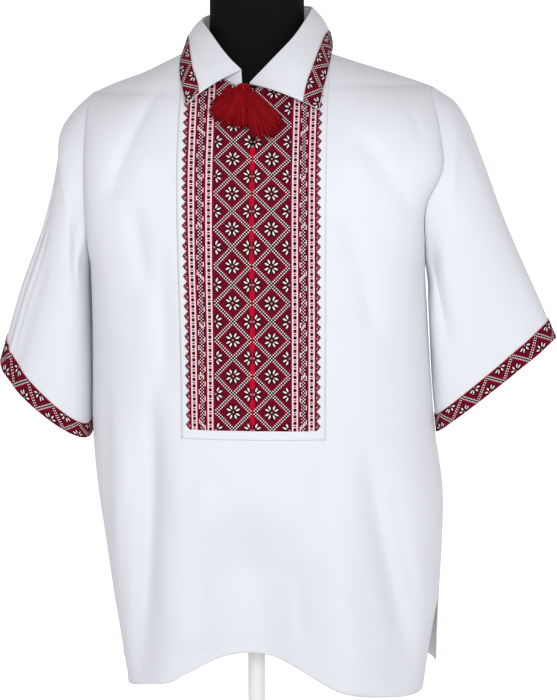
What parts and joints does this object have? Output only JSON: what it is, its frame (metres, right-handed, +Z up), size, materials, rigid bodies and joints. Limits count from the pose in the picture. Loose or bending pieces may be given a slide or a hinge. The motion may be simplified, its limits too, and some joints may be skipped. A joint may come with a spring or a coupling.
{
  "type": "vyshyvanka shirt on a limbless dress form with its stand",
  "caption": "White short-sleeved embroidered pullover shirt with a turned-down collar and tasselled tie, worn by a black limbless dress form on a white pole and round base.",
  "frame": {"origin": "middle of the base plate's underside, on the surface that the stand rests on", "axes": "+Z up; the shirt's front looks along -Y; the wearer's right is -X and left is +X"},
  "size_m": [0.7038, 0.3, 1.05],
  "materials": {
    "white_cloth": "plain-woven white cotton blend, matt",
    "embroidery": "dense crimson, black and white counted-thread embroidery on white cloth",
    "red_thread": "red embroidery thread, soft sheen",
    "black_cover": "matt black fine jersey stretched over a foam form",
    "white_metal": "white powder coat"
  },
  "bodies": {
    "root": {"front": "white_cloth", "back": "white_cloth", "sleeve_right": "white_cloth", "sleeve_left": "white_cloth", "collar_stand": "white_cloth", "collar_fall": "white_cloth", "chest_panel": "embroidery", "cuff_band_right": "embroidery", "cuff_band_left": "embroidery", "collar_tape": "embroidery", "tie_knot": "red_thread", "tassel_right": "red_thread", "tassel_left": "red_thread", "dress_form": "black_cover", "stand_pole": "white_metal", "stand_base": "white_metal"}
  },
  "joints": []
}
